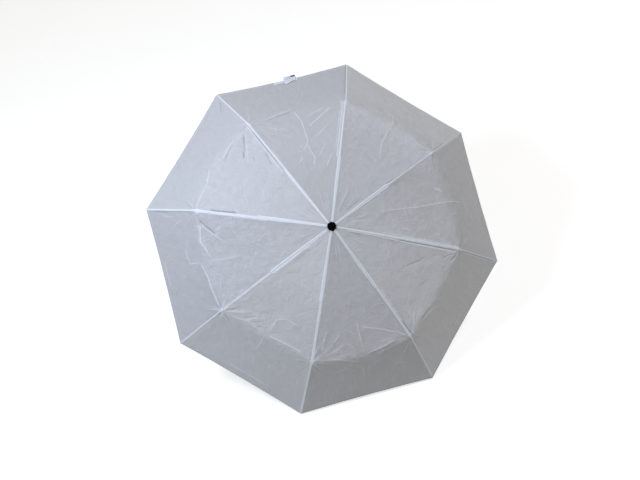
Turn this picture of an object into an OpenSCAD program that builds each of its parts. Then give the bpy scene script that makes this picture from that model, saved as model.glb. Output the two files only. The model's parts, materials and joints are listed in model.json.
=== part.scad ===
// Three-fold pocket umbrella with eight ribs, lying open on its handle end and two rib tips.
// Sizes are in millimetres. The umbrella is built upright about its shaft, then laid down.

/* [Ribs] */
// Length of the inner rib section, crown pivot to first knuckle
inner_len = 185; // [120:1:260]
// Length of the middle rib section
mid_len = 161; // [100:1:230]
// Length of the outer rib section, to the middle of the tip ball
outer_len = 171; // [100:1:240]
// Slope of the open inner section below level
inner_drop = 9; // [4:0.1:14]
// Slope of the open middle section below level
mid_drop = 10.5; // [6:0.1:24]
// Slope of the open outer section below level
outer_drop = 39; // [20:0.5:55]
// Width of the inner rib channel
inner_w = 5; // [4:0.1:7]
// Height of the inner rib channel
inner_h = 3.6; // [2.6:0.1:5]
// Width of the middle rib channel
mid_w = 4; // [3.2:0.1:6]
// Height of the middle rib channel
mid_h = 3; // [2:0.1:4.4]
// Sheet thickness of the rib channels
rib_wall = 0.6; // [0.4:0.05:0.9]
// Diameter of the outer rib wire
wire_d = 2.2; // [1.6:0.1:3]
// Diameter of the ball on each rib tip
tip_ball_d = 6; // [4:0.2:9]
// Length of the tip cap on the wire
tip_len = 14; // [8:0.5:24]

/* [Pivots] */
// Height of the first knuckle above the middle of the inner rib
knuckle_up = 2.6; // [2.2:0.1:4]
// Depth of the second knuckle under the middle of the middle rib
knuckle_down = 2.2; // [2:0.1:4]
// Diameter of the rivets of the first knuckle and the stretcher
rivet_d = 1.4; // [1:0.05:2]
// Diameter of the rivet of the second knuckle
small_rivet_d = 1.2; // [0.8:0.05:1.8]
// Clearance round each rivet
rivet_fit = 0.05; // [0.02:0.01:0.1]
// Diameter of the ring wire in the crown notch
ring_wire_d = 1.2; // [0.8:0.05:1.6]
// Clearance round the ring wire in each rib eye
ring_fit = 0.1; // [0.06:0.01:0.2]
// Clearance between an eye plate and the two cheeks beside it
cheek_gap = 0.3; // [0.15:0.05:0.5]

/* [Stretchers and runner] */
// Distance of the stretcher rivet from the crown pivot, along the inner rib
stretcher_at = 95; // [60:1:140]
// Length of a stretcher between its two pivots
stretcher_len = 113; // [90:1:160]
// Depth of the stretcher rivet under the middle of the inner rib
pivot_drop = 3.4; // [2.8:0.1:5]
// Height of the stretcher channel
stretcher_h = 2.4; // [1.8:0.1:3.2]
// Radius at which the stretchers meet the runner
runner_pivot_r = 11; // [10:0.5:15]
// Radius of the runner flange
runner_flange_r = 14; // [12.5:0.5:20]
// Height of the runner flange
runner_flange_h = 6; // [4:0.5:10]
// Wall of the runner sleeve
runner_wall = 2.2; // [1.4:0.1:2.6]
// Length of the runner sleeve under the pivots
runner_skirt = 16; // [8:0.5:30]

/* [Shaft] */
// Outer radius of the upper tube
tube_r = 6; // [5:0.1:8]
// Wall of the three tubes
tube_wall = 0.5; // [0.4:0.05:0.8]
// Radial clearance between two tubes, and between the runner and the upper tube
slide_fit = 0.08; // [0.04:0.01:0.1]
// Travel of each telescoping joint
slide_travel = 130; // [80:1:170]
// Length of tube that stays inside the next when drawn out
tube_overlap = 16; // [8:1:30]

/* [Crown] */
// Radius of the ring on which the ribs turn
notch_r = 12; // [11:0.5:16]
// Radius of the slotted crown
crown_r = 14; // [13.5:0.5:20]
// Height of the slotted crown
crown_h = 6; // [4.5:0.5:9]
// Radius of the cap over the canopy
cap_r = 12; // [8:0.5:18]
// Height of the domed cap
cap_h = 6; // [3:0.5:12]

/* [Handle] */
// Radius of the handle
handle_r = 15; // [11:0.5:20]
// Length of the handle with its end
handle_len = 66; // [50:1:110]
// Rounding of the handle end
handle_round = 4; // [2:0.5:8]

/* [Fabric] */
// Thickness of the canopy solid
cloth_t = 0.8; // [0.5:0.1:1.5]
// Room between the canopy and the frame under it
cloth_room = 0.8; // [0.5:0.1:2]
// How far the panels pull in between two ribs
cloth_sag = 3; // [0:0.5:8]
// Distance of the hem corner from the middle of the tip ball
hem_back = 4; // [3.5:0.5:14]
// Length of the strap's sewn base along the hem
strap_len = 66; // [40:1:120]
// Width of the strap's sewn base
strap_base_w = 8; // [5:1:14]
// Width of the strap's folded end, along the hem
strap_w = 34; // [16:1:44]
// Length of the strap's folded end, across the hem
strap_fold = 36; // [20:1:60]
// How far the folded end stands out past the hem
strap_out = 12; // [4:1:16]

/* [Hidden] */
$fn = 48;
ribs = 8;
fold_angle = 88;
eps = 0.01;
plate_gap = 5.5;
cheek_r = 1.9;
eye_r = 1.8;
tube_clear = 4;
strap_end = 39;
patch_w = 7;

function turn(v, a) = [v.x * cos(a) - v.y * sin(a), v.x * sin(a) + v.y * cos(a)];
function rib_angle(k) = -112.5 + 360 / ribs * (k - 1);

// Pivots of one rib, as distance from the shaft and height beside the crown
H0 = [notch_r, 0];
H1 = H0 + turn([inner_len, knuckle_up], -inner_drop);
H2 = H1 + turn([mid_len, -knuckle_up - knuckle_down], -mid_drop);
HT = H2 + turn([outer_len, knuckle_down], -outer_drop);
HS = H0 + turn([stretcher_at, -pivot_drop], -inner_drop);
HC = H0 + turn([stretcher_at, -pivot_drop], -fold_angle);
runner_z = HS.y - sqrt(pow(stretcher_len, 2) - pow(HS.x - runner_pivot_r, 2));
runner_low_z = HC.y - sqrt(pow(stretcher_len, 2) - pow(HC.x - runner_pivot_r, 2));
stretcher_angle = atan2(runner_z - HS.y, runner_pivot_r - HS.x);

// Shaft
upper_end = runner_low_z - runner_skirt;
mid_top = upper_end + tube_overlap;
mid_end = upper_end - slide_travel - tube_clear / 2;
low_top = mid_end + tube_overlap;
handle_top = upper_end - 2 * slide_travel - tube_clear;
shaft_len = handle_len - handle_top;
mid_r = tube_r - tube_wall - slide_fit;
low_r = mid_r - tube_wall - slide_fit;
runner_bore = tube_r + slide_fit;

// Lie of the open umbrella: the floor touches two tip balls and the rounded handle end
tip_r = tip_ball_d / 2;
lie_a = shaft_len - handle_round + HT.y;
lie_b = HT.x * cos(180 / ribs) - (handle_r - handle_round);
lean = atan2(lie_b, lie_a) + asin((tip_r - handle_round) / norm([lie_a, lie_b]));
crown_z = tip_r + HT.x * cos(180 / ribs) * cos(lean) - HT.y * sin(lean);
crown_y = HT.y * cos(lean);

module place() {
  translate([0, crown_y, crown_z])
    rotate([90 - lean, 0, 0])
      children();
}

module at_rib(k) {
  place()
    rotate([0, 0, rib_angle(k)])
      children();
}

// A side view drawn along x and z, given a width across y
module side(w) {
  rotate([90, 0, 0])
    linear_extrude(height = w, center = true)
      children();
}

// ---- Crown ----

module cap() {
  dome_r = (pow(cap_r, 2) + pow(cap_h - 1, 2)) / (2 * (cap_h - 1));
  base = crown_h / 2 + cloth_room / 2 + cloth_t + 0.3;
  color([0.06, 0.06, 0.07])
    place() {
      intersection() {
        translate([0, 0, base + cap_h - dome_r])
          sphere(dome_r, $fn = 96);
        translate([0, 0, base])
          cylinder(h = cap_h + 1, r = cap_r - eps);
      }
      translate([0, 0, -1])
        cylinder(h = base + 2, r = 3);
    }
}

module crown_notch() {
  color([0.1, 0.1, 0.11])
    place()
      difference() {
        rotate_extrude()
          polygon([
            [3 + slide_fit, crown_h / 2],
            [crown_r, crown_h / 2],
            [crown_r, -crown_h / 2],
            [tube_r + 2, -crown_h / 2],
            [tube_r + 2, -14],
            [tube_r + slide_fit, -14],
            [tube_r + slide_fit, -2],
            [3 + slide_fit, -2]
          ]);
        for (k = [1 : ribs])
          rotate([0, 0, rib_angle(k)])
            translate([notch_r - 2.6, -1.2, -crown_h])
              cube([crown_r, 2.4, 2 * crown_h]);
        rotate_extrude()
          translate([notch_r, 0])
            circle(d = ring_wire_d + 0.1);
      }
}

module notch_wire() {
  color([0.7, 0.7, 0.72])
    place()
      rotate_extrude()
        translate([notch_r, 0])
          circle(d = ring_wire_d);
}

// ---- Shaft ----

module tube(top, end, r) {
  place()
    translate([0, 0, end])
      difference() {
        cylinder(h = top - end, r = r);
        translate([0, 0, -1])
          cylinder(h = top - end + 2, r = r - tube_wall);
      }
}

module upper_tube() {
  color([0.75, 0.76, 0.78])
    tube(-2, upper_end, tube_r);
}

module middle_tube() {
  color([0.75, 0.76, 0.78])
    tube(mid_top, mid_end, mid_r);
}

module lower_tube() {
  color([0.75, 0.76, 0.78])
    tube(low_top, handle_top - 24, low_r);
}

module runner() {
  color([0.1, 0.1, 0.11])
    place()
      translate([0, 0, runner_z])
        difference() {
          union() {
            translate([0, 0, -runner_skirt])
              cylinder(h = runner_skirt + runner_flange_h / 2 + 1, r = runner_bore + runner_wall);
            translate([0, 0, -runner_flange_h / 2])
              cylinder(h = runner_flange_h, r = runner_flange_r);
          }
          translate([0, 0, -runner_skirt - 1])
            cylinder(h = runner_skirt + runner_flange_h + 2, r = runner_bore);
          for (k = [1 : ribs])
            rotate([0, 0, rib_angle(k)])
              translate([runner_pivot_r - stretcher_h / 2 - 0.5, -1.9, -runner_flange_h])
                cube([runner_flange_r, 3.8, 2 * runner_flange_h]);
        }
}

// ---- Ribs ----

module inner_rib(k) {
  gap = inner_w - 2 * rib_wall;
  color([0.55, 0.56, 0.58])
    at_rib(k)
      translate([H0.x, 0, H0.y])
        rotate([0, inner_drop, 0]) {
          difference() {
            side(inner_w) {
              translate([plate_gap, -inner_h / 2])
                square([inner_len - plate_gap, inner_h]);
              translate([inner_len - cheek_r, -inner_h / 2])
                square([cheek_r, inner_h / 2 + knuckle_up]);
              translate([inner_len, knuckle_up])
                circle(cheek_r);
              translate([stretcher_at - cheek_r, -pivot_drop])
                square([2 * cheek_r, pivot_drop]);
              translate([stretcher_at, -pivot_drop])
                circle(cheek_r);
            }
            side(gap) {
              translate([plate_gap + 4, -2 * inner_h])
                square([inner_len, 2.5 * inner_h - rib_wall]);
              translate([inner_len - plate_gap, -2 * inner_h])
                square([2 * plate_gap, 4 * inner_h]);
            }
          }
          difference() {
            side(1.8) {
              circle(2);
              translate([0, -1.5])
                square([plate_gap + 2, 3]);
            }
            side(4)
              circle(d = ring_wire_d + 2 * ring_fit);
          }
          translate([stretcher_at, 0, -pivot_drop])
            side(inner_w - rib_wall)
              circle(d = rivet_d);
          translate([inner_len, 0, knuckle_up])
            side(inner_w - rib_wall)
              circle(d = rivet_d);
        }
}

module middle_rib(k) {
  gap = mid_w - 2 * rib_wall + 0.2;
  plate = inner_w - 2 * rib_wall - 2 * cheek_gap;
  color([0.6, 0.61, 0.63])
    at_rib(k)
      translate([H1.x, 0, H1.y])
        rotate([0, mid_drop, 0]) {
          difference() {
            union() {
              side(mid_w) {
                translate([plate_gap, -knuckle_up - mid_h / 2])
                  square([mid_len - plate_gap, mid_h]);
                translate([mid_len - 1.7, -knuckle_up - knuckle_down])
                  square([1.7, knuckle_down]);
                translate([mid_len, -knuckle_up - knuckle_down])
                  circle(1.7);
              }
              side(plate) {
                circle(eye_r);
                translate([0, -knuckle_up - 1])
                  square([plate_gap + 2, knuckle_up + 1]);
              }
            }
            side(gap) {
              translate([plate_gap + 4, -knuckle_up - 2 * mid_h])
                square([mid_len, 2.5 * mid_h - rib_wall]);
              translate([mid_len - plate_gap, -knuckle_up - 3 * mid_h])
                square([2 * plate_gap, 6 * mid_h]);
            }
            side(inner_w)
              circle(d = rivet_d + 2 * rivet_fit);
          }
          translate([mid_len, 0, -knuckle_up - knuckle_down])
            side(mid_w - rib_wall)
              circle(d = small_rivet_d);
        }
}

module outer_rib(k) {
  plate = mid_w - 2 * rib_wall + 0.2 - 2 * cheek_gap;
  color([0.66, 0.67, 0.69])
    at_rib(k)
      translate([H2.x, 0, H2.y])
        rotate([0, outer_drop, 0]) {
          difference() {
            side(plate) {
              circle(1.6);
              translate([0, 0])
                square([plate_gap + 1.5, knuckle_down + 1]);
            }
            side(mid_w)
              circle(d = small_rivet_d + 2 * rivet_fit);
          }
          translate([plate_gap - 0.5, 0, knuckle_down])
            rotate([0, 90, 0])
              cylinder(h = outer_len - plate_gap - 3, d = wire_d);
        }
}

module rib_tip(k) {
  color([0.8, 0.81, 0.83])
    at_rib(k)
      translate([H2.x, 0, H2.y])
        rotate([0, outer_drop, 0])
          difference() {
            union() {
              translate([outer_len, 0, knuckle_down])
                sphere(d = tip_ball_d);
              translate([outer_len - tip_len, 0, knuckle_down])
                rotate([0, 90, 0])
                  cylinder(h = tip_len, d = wire_d + 1.8);
            }
            translate([outer_len - tip_len - 1, 0, knuckle_down])
              rotate([0, 90, 0])
                cylinder(h = tip_len - 1, d = wire_d + 2 * rivet_fit);
          }
}

module stretcher(k) {
  w = inner_w - 2 * rib_wall - 2 * cheek_gap;
  color([0.6, 0.61, 0.63])
    at_rib(k)
      translate([HS.x, 0, HS.y])
        rotate([0, -stretcher_angle, 0])
          difference() {
            side(w) {
              circle(1.6);
              translate([0, -stretcher_h / 2])
                square([stretcher_len, stretcher_h]);
              translate([stretcher_len, 0])
                circle(d = stretcher_h);
            }
            side(w - 2 * rib_wall)
              translate([4, -stretcher_h])
                square([stretcher_len - 9, 1.5 * stretcher_h - rib_wall]);
            side(inner_w)
              circle(d = rivet_d + 2 * rivet_fit);
            translate([stretcher_len, 0, 0])
              side(inner_w)
                circle(d = small_rivet_d);
          }
}

// ---- Canopy ----

// The line of the cloth over one rib: crown, first knuckle, second knuckle, hem corner
line_0 = [[4, crown_h / 2 + cloth_room / 2], [crown_r / cos(180 / ribs) + 0.5, crown_h / 2 + cloth_room / 2]];
line_1 = H1 + [0, cheek_r + cloth_room];
line_2 = H2 + turn([0, knuckle_down + mid_h / 2 + cloth_room + 0.3], -(mid_drop + outer_drop) / 2);
line_3 = HT + turn([-hem_back, wire_d / 2 + 0.9 + cloth_room], -outer_drop);
steps = 5;
across = 6;

function between(a, b) = [for (i = [1 : steps]) a + (b - a) * i / steps];
cloth_line = concat(line_0, between(line_0[1], line_1), between(line_1, line_2), between(line_2, line_3));
rings = len(cloth_line);
round_n = ribs * across;

function sag_at(i) = i < 2 ? 0 : cloth_sag * sin(180 * (i - 1) / (rings - 2));
function cloth_point(i, j, up) =
  let (
    g = floor(j / across),
    u = (j % across) / across,
    a = rib_angle(g + 1),
    b = rib_angle(g + 2),
    r = cloth_line[i].x
  )
  [
    r * ((1 - u) * cos(a) + u * cos(b)),
    r * ((1 - u) * sin(a) + u * sin(b)),
    cloth_line[i].y + up - sag_at(i) * 4 * u * (1 - u)
  ];
function at(i, j, layer) = layer * rings * round_n + i * round_n + j % round_n;

module canopy() {
  under = [for (i = [0 : rings - 1]) for (j = [0 : round_n - 1]) cloth_point(i, j, 0)];
  over = [for (i = [0 : rings - 1]) for (j = [0 : round_n - 1]) cloth_point(i, j, cloth_t)];
  faces_under = [
    for (i = [0 : rings - 2]) for (j = [0 : round_n - 1]) each [
      [at(i, j, 0), at(i, j + 1, 0), at(i + 1, j + 1, 0)],
      [at(i, j, 0), at(i + 1, j + 1, 0), at(i + 1, j, 0)]
    ]
  ];
  faces_over = [
    for (i = [0 : rings - 2]) for (j = [0 : round_n - 1]) each [
      [at(i, j, 1), at(i + 1, j + 1, 1), at(i, j + 1, 1)],
      [at(i, j, 1), at(i + 1, j, 1), at(i + 1, j + 1, 1)]
    ]
  ];
  faces_hem = [
    for (j = [0 : round_n - 1]) each [
      [at(rings - 1, j, 0), at(rings - 1, j + 1, 0), at(rings - 1, j + 1, 1)],
      [at(rings - 1, j, 0), at(rings - 1, j + 1, 1), at(rings - 1, j, 1)]
    ]
  ];
  faces_hole = [
    for (j = [0 : round_n - 1]) each [
      [at(0, j, 0), at(0, j + 1, 1), at(0, j + 1, 0)],
      [at(0, j, 0), at(0, j, 1), at(0, j + 1, 1)]
    ]
  ];
  color([0.78, 0.8, 0.85])
    place()
      polyhedron(
        points = concat(under, over),
        faces = concat(faces_under, faces_over, faces_hem, faces_hole),
        convexity = 8
      );
}

// The strap lies on the outer band of the panel opposite the floor, its folded end out past the hem
hem_mid = [line_3.x * cos(180 / ribs), line_3.y];
band_mid = [line_2.x * cos(180 / ribs), line_2.y];
band_slope = atan2(band_mid.y - hem_mid.y, hem_mid.x - band_mid.x);

module on_hem() {
  place()
    translate([0, hem_mid.x, hem_mid.y])
      rotate([-band_slope, 0, 0])
        translate([0, 0, cloth_t + 0.3])
          children();
}

module closure_strap() {
  color([0.82, 0.84, 0.88])
    on_hem() {
      translate([strap_end - strap_len, -strap_base_w, 0])
        cube([strap_len, strap_base_w, 1]);
      translate([strap_end - strap_w, strap_out - strap_fold, 0])
        cube([strap_w, strap_fold, 2]);
    }
}

module strap_patch() {
  color([0.35, 0.36, 0.38])
    on_hem()
      translate([strap_end - strap_w / 2, strap_out - patch_w - 1, 2])
        cube([strap_w / 2 - 1, patch_w, 0.8]);
}

// ---- Handle ----

module handle() {
  color([0.08, 0.08, 0.09])
    place()
      translate([0, 0, handle_top])
        rotate_extrude()
          polygon([
            [low_r + slide_fit, 0],
            [8.5, 0],
            [10, -1.5],
            [10, -5],
            [handle_r, -13],
            [handle_r, -handle_len + 12],
            [0, -handle_len + 12],
            [0, -24 - slide_fit],
            [low_r + slide_fit, -24 - slide_fit]
          ]);
}

module handle_end() {
  color([0.14, 0.14, 0.15])
    place()
      translate([0, 0, handle_top - handle_len])
        rotate_extrude() {
          square([handle_r - handle_round, 12]);
          translate([0, handle_round])
            square([handle_r, 12 - handle_round]);
          translate([handle_r - handle_round, handle_round])
            circle(handle_round);
        }
}

cap();
crown_notch();
notch_wire();
upper_tube();
middle_tube();
lower_tube();
runner();
handle();
handle_end();
canopy();
closure_strap();
strap_patch();
inner_rib(1);  // inner_rib_1
inner_rib(2);  // inner_rib_2
inner_rib(3);  // inner_rib_3
inner_rib(4);  // inner_rib_4
inner_rib(5);  // inner_rib_5
inner_rib(6);  // inner_rib_6
inner_rib(7);  // inner_rib_7
inner_rib(8);  // inner_rib_8
middle_rib(1);  // middle_rib_1
middle_rib(2);  // middle_rib_2
middle_rib(3);  // middle_rib_3
middle_rib(4);  // middle_rib_4
middle_rib(5);  // middle_rib_5
middle_rib(6);  // middle_rib_6
middle_rib(7);  // middle_rib_7
middle_rib(8);  // middle_rib_8
outer_rib(1);  // outer_rib_1
outer_rib(2);  // outer_rib_2
outer_rib(3);  // outer_rib_3
outer_rib(4);  // outer_rib_4
outer_rib(5);  // outer_rib_5
outer_rib(6);  // outer_rib_6
outer_rib(7);  // outer_rib_7
outer_rib(8);  // outer_rib_8
rib_tip(1);  // rib_tip_1
rib_tip(2);  // rib_tip_2
rib_tip(3);  // rib_tip_3
rib_tip(4);  // rib_tip_4
rib_tip(5);  // rib_tip_5
rib_tip(6);  // rib_tip_6
rib_tip(7);  // rib_tip_7
rib_tip(8);  // rib_tip_8
stretcher(1);  // stretcher_1
stretcher(2);  // stretcher_2
stretcher(3);  // stretcher_3
stretcher(4);  // stretcher_4
stretcher(5);  // stretcher_5
stretcher(6);  // stretcher_6
stretcher(7);  // stretcher_7
stretcher(8);  // stretcher_8
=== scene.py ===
import json
import math

import bmesh
import bpy
import numpy as np
from mathutils import Matrix, Vector


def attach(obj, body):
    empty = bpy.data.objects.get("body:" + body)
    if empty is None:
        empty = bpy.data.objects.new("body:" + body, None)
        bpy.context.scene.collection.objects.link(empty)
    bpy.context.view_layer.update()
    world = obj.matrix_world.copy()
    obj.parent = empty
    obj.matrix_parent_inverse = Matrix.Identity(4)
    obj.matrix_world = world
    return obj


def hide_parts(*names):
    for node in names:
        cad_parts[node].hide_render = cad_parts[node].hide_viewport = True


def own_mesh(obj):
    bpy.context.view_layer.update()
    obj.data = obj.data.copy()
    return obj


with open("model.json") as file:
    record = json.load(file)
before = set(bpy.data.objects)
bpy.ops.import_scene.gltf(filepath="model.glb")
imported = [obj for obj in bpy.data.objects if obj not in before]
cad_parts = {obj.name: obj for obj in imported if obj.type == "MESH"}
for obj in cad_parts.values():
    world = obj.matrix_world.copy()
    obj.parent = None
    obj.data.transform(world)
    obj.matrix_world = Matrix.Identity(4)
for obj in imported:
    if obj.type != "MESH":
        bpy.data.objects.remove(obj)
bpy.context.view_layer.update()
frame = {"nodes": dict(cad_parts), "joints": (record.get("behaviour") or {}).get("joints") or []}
scene = bpy.context.scene
joints = {j["name"]: j for j in frame["joints"]}
bpy.ops.object.select_all(action="DESELECT")

ribCount = 8
firstRib = -112.5           # degrees round the shaft
ribSlopes = {"inner": 9.0, "middle": 10.5, "outer": 39.0}       # degrees below the crown's plane
mm = 0.001


def jointPoint(name):
    return np.array(joints[name]["pos_m"], float)


shaftUp = -np.array(joints["fold"]["axis"], float)
shaftUp /= np.linalg.norm(shaftUp)
sideX = np.array((1.0, 0.0, 0.0))
sideY = np.cross(shaftUp, sideX)
crownPoint = np.mean([jointPoint(f"inner_rib_hinge_{k}") for k in range(1, ribCount + 1)], axis=0)


def leaned(ways):
    # directions on the upright umbrella, turned to the lean of the frame
    return ways[..., :1] * sideX + ways[..., 1:2] * sideY + ways[..., 2:3] * shaftUp


def laid(points):
    return crownPoint + leaned(np.asarray(points, float))


def axesMatrix(*columns):
    matrix = Matrix.Identity(4)
    for column, way in enumerate(columns):
        for line in range(3):
            matrix[line][column] = way[line]
    return matrix


laidMatrix = axesMatrix(sideX, sideY, shaftUp, crownPoint)


def ribAngle(k):
    return math.radians(firstRib + 360 / ribCount * (k - 1))


def turned(x, y, degrees):
    c, s = math.cos(math.radians(degrees)), math.sin(math.radians(degrees))
    return np.array((x * c - y * s, x * s + y * c))


def pivotAt(name):
    # a pivot's distance from the shaft and its height along it
    away = jointPoint(name) - crownPoint
    height = away @ shaftUp
    return np.array((np.linalg.norm(away - height * shaftUp), height))


def unit(ways):
    return ways / np.linalg.norm(ways, axis=-1, keepdims=True)


def smoothStep(low, high, x):
    t = np.clip((x - low) / (high - low), 0, 1)
    return t * t * (3 - 2 * t)


def feed(tree, socket, value):
    if isinstance(value, bpy.types.NodeSocket):
        tree.links.new(value, socket)
    else:
        socket.default_value = value


def feedAll(tree, node, inputs):
    for name, value in inputs.items():
        feed(tree, node.inputs[name], value)


def addNode(tree, kind, inputs=None, **settings):
    node = tree.nodes.new(kind)
    for name, value in settings.items():
        setattr(node, name, value)
    feedAll(tree, node, inputs or {})
    return node


def newMaterial(name):
    material = bpy.data.materials.new(name)
    material.use_nodes = True
    tree = material.node_tree
    return material, tree, tree.nodes["Principled BSDF"]


def mathNode(tree, operation, a, b=0.0, c=0.0):
    return addNode(tree, "ShaderNodeMath", {0: a, 1: b, 2: c}, operation=operation).outputs[0]


def times(tree, a, b):
    return mathNode(tree, "MULTIPLY", a, b)


def fade(tree, value, start, end, low=0.0, high=1.0):
    inputs = {"Value": value, "From Min": start, "From Max": end, "To Min": low, "To Max": high}
    return addNode(tree, "ShaderNodeMapRange", inputs, interpolation_type="SMOOTHSTEP").outputs["Result"]


def fadeOut(tree, value, start, end):
    return fade(tree, value, start, end, 1.0, 0.0)


def mixColour(tree, share, a, b):
    node = addNode(tree, "ShaderNodeMix", data_type="RGBA")
    for name, kind, value in (("Factor", "VALUE", share), ("A", "RGBA", a), ("B", "RGBA", b)):
        feed(tree, next(s for s in node.inputs if s.name == name and s.type == kind), value)
    return next(s for s in node.outputs if s.type == "RGBA")


def attribute(tree, name):
    return addNode(tree, "ShaderNodeAttribute", attribute_name=name).outputs["Fac"]


def distance(tree, a, b=0.0):
    return mathNode(tree, "ABSOLUTE", mathNode(tree, "SUBTRACT", a, b))


def noise(tree, place, scale, detail, roughness=0.5, distortion=0.0):
    inputs = {"Vector": place, "Scale": scale, "Detail": detail}
    inputs.update({"Roughness": roughness, "Distortion": distortion})
    return addNode(tree, "ShaderNodeTexNoise", inputs).outputs["Fac"]


def bump(tree, height, strength, depth, under=None):
    inputs = {"Height": height, "Strength": strength, "Distance": depth}
    if under is not None:
        inputs["Normal"] = under
    return addNode(tree, "ShaderNodeBump", inputs).outputs["Normal"]


def clothPlace(tree):
    return addNode(tree, "ShaderNodeUVMap", uv_map="cloth").outputs["UV"]


def objectPlace(tree):
    return addNode(tree, "ShaderNodeTexCoord").outputs["Object"]


halfWave = 0.157            # half the wave texture's period at scale 1


def weaveHeight(tree, place, pitch):
    inputs = {"Vector": place, "Scale": halfWave / pitch}
    threads = [addNode(tree, "ShaderNodeTexWave", inputs, bands_direction=way) for way in ("X", "Y")]
    return times(tree, *(thread.outputs["Fac"] for thread in threads))


clothLook = {
    "panel": (0.535, 0.538, 0.553, 1),
    "panelPale": (0.57, 0.573, 0.588, 1),
    "seam": (0.90, 0.94, 0.99, 1),
    "crease": (0.84, 0.85, 0.88, 1),
    "shade": (0.22, 0.23, 0.26, 1),
    "roughness": 0.42,
    "shine": 0.35,
    "letThrough": 0.22,
    "patchScale": 30.0,
    "weavePitch": 0.0005,
    "weaveDepth": 0.00005,
    "crumpleScale": 55.0,
    "crumpleDepth": 0.0023,
    "ridgeDepth": 0.0008,
    "paintedCrestHighlight": 0.45,         # how far raised cloth goes pale with painted highlight and sunk cloth goes dark with painted shade
    "paintedHollowShade": 0.3,
    "stitchesAt": 6.4,          # mm in from the hem
    "rimInside": 1.2,           # mm from the seam band's edge to its painted highlight line
}

# Lines on the cloth, the lowest first: where it starts and ends fading in mm, its share and its colour
clothLines = {
    # light: pale crease lines, partly worn whitening of the fold and partly painted highlight; dark: painted
    # shade along creases
    "light": (0.3, 1.7, 0.8, "crease"),
    "dark": (0.4, 2.0, 0.6, "shade"),
    "hemBand": (6.2, 7.2, 0.12, "seam"),
    "stitches": (0.2, 0.9, 0.3, "crease"),
    "band": (-0.8, 1.0, 0.85, "seam"),
    "core": (1.5, 2.9, 0.95, "seam"),
    # groove: painted shade down the seam band's middle; rim: painted highlight along the raised edge of the
    # seam band
    "groove": (0.5, 1.8, 0.35, "shade"),
    "rim": (0.5, 1.7, 1.0, "seam"),
}


def clothMaterial():
    look = clothLook
    material, tree, shader = newMaterial("canopyCloth")
    place = clothPlace(tree)
    across, hem, crest = (attribute(tree, name) for name in ("seamAcross", "hemNear", "crest"))
    edge = mathNode(tree, "SUBTRACT", across, attribute(tree, "seamHalf"))
    drawn = {
        "light": (distance(tree, attribute(tree, "lightNear")), "lightStrength"),
        "dark": (distance(tree, attribute(tree, "darkNear")), "darkStrength"),
        "hemBand": (hem, None),
        "stitches": (distance(tree, hem, look["stitchesAt"]), None),
        "band": (edge, "seamTone"),
        "core": (across, "seamCore"),
        "groove": (across, "seamGrooveShade"),
        "rim": (distance(tree, edge, -look["rimInside"]), "seamEdgeHighlight"),
    }
    patches = noise(tree, place, look["patchScale"], 5.0, 0.7)
    colour = mixColour(tree, patches, look["panel"], look["panelPale"])
    # painted light: the colour is scaled brighter or darker by each panel's tone, as the light falls on that
    # panel
    scaled = {0: colour, "Scale": attribute(tree, "clothTone")}
    colour = addNode(tree, "ShaderNodeVectorMath", scaled, operation="SCALE").outputs["Vector"]
    # painted highlight on raised cloth and painted shade on sunk cloth, from the bend of the height field
    raised = mathNode(tree, "MAXIMUM", crest, 0.0)
    sunk = mathNode(tree, "MAXIMUM", times(tree, crest, -1.0), 0.0)
    colour = mixColour(tree, times(tree, raised, look["paintedCrestHighlight"]), colour, look["crease"])
    colour = mixColour(tree, times(tree, sunk, look["paintedHollowShade"]), colour, look["shade"])
    masks = {}
    for name, (start, end, share, tint) in clothLines.items():
        away, strength = drawn[name]
        masks[name] = fadeOut(tree, away, start, end)
        if strength:
            masks[name] = times(tree, masks[name], attribute(tree, strength))
        colour = mixColour(tree, times(tree, masks[name], share), colour, look[tint])
    woven = bump(tree, weaveHeight(tree, place, look["weavePitch"]), 0.15, look["weaveDepth"])
    crumple = noise(tree, place, look["crumpleScale"], 5.0, 0.66, 1.4)
    crumpled = bump(tree, crumple, 0.9, look["crumpleDepth"], woven)
    ridges = mathNode(tree, "ADD", times(tree, masks["light"], 0.5), times(tree, masks["rim"], 0.8))
    ridged = bump(tree, ridges, 0.5, look["ridgeDepth"], crumpled)
    feedAll(tree, shader, {"Base Color": colour, "Normal": ridged, "Roughness": look["roughness"],
                           "Specular IOR Level": look["shine"]})
    through = addNode(tree, "ShaderNodeBsdfTranslucent", {"Color": colour, "Normal": crumpled})
    both = {0: look["letThrough"], 1: shader.outputs[0], 2: through.outputs[0]}
    mixed = addNode(tree, "ShaderNodeMixShader", both)
    tree.links.new(mixed.outputs[0], tree.nodes["Material Output"].inputs["Surface"])
    return material


strapLook = {
    "top": (0.60, 0.62, 0.68, 1),
    "edge": (0.86, 0.90, 0.98, 1),
    "tape": (0.075, 0.07, 0.068, 1),
    "tapeWorn": (0.16, 0.15, 0.15, 1),
    "wearScale": 140.0,
    "weavePitch": 0.0006,
    "hookScale": 900.0,
}


def strapMaterial():
    look = strapLook
    material, tree, shader = newMaterial("strapCloth")
    place = clothPlace(tree)
    worn = fade(tree, noise(tree, place, look["wearScale"], 4.0), 0.35, 0.7, 0.0, 0.25)
    edge = fadeOut(tree, attribute(tree, "edgeNear"), 1.6, 2.6)
    slots = fadeOut(tree, distance(tree, attribute(tree, "darkNear")), 0.5, 1.3)
    slots = times(tree, slots, attribute(tree, "darkStrength"))
    colour = look["top"]
    for share, tint in ((worn, "edge"), (times(tree, edge, 0.85), "edge"), (times(tree, slots, 0.9), "tape")):
        colour = mixColour(tree, share, colour, look[tint])
    woven = bump(tree, weaveHeight(tree, place, look["weavePitch"]), 0.3, 0.0001)
    stitched = bump(tree, edge, 0.5, 0.0004, woven)
    feedAll(tree, shader, {"Base Color": colour, "Normal": stitched, "Roughness": 0.6})
    return material


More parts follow.
